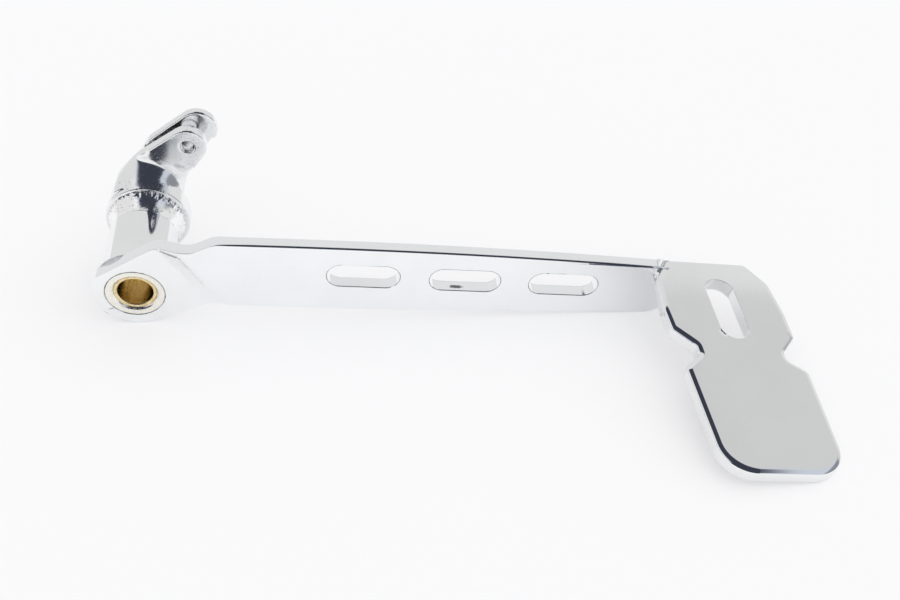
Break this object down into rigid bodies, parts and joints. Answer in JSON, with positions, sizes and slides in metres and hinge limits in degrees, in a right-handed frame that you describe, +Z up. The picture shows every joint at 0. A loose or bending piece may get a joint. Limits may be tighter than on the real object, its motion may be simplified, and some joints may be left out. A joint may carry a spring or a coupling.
{
  "type": "motorbike rear brake pedal",
  "caption": "Flat joggled arm with slots, a bushed pivot tube at one end, a waisted foot plate at the other and a forked lever behind the tube.",
  "frame": {"origin": "centre of the pivot bore at the arm's outer face", "axes": "+X along the arm towards the foot plate, +Y along the pivot axis towards the lever (inboard), +Z up; the foot plate is level"},
  "size_m": [0.3153, 0.1992, 0.0699],
  "materials": {
    "chrome_plate": "polished and chromed steel",
    "chrome_weld": "chromed weld bead",
    "bush_bronze": "turned bronze"
  },
  "bodies": {
    "root": {"arm_plate": "chrome_plate", "pad_plate": "chrome_plate", "pivot_tube": "chrome_plate", "clevis_lever": "chrome_plate", "outer_bush": "bush_bronze", "inner_bush": "bush_bronze", "lever_weld": "chrome_weld", "arm_weld": "chrome_weld", "pad_weld": "chrome_weld"}
  },
  "joints": []
}
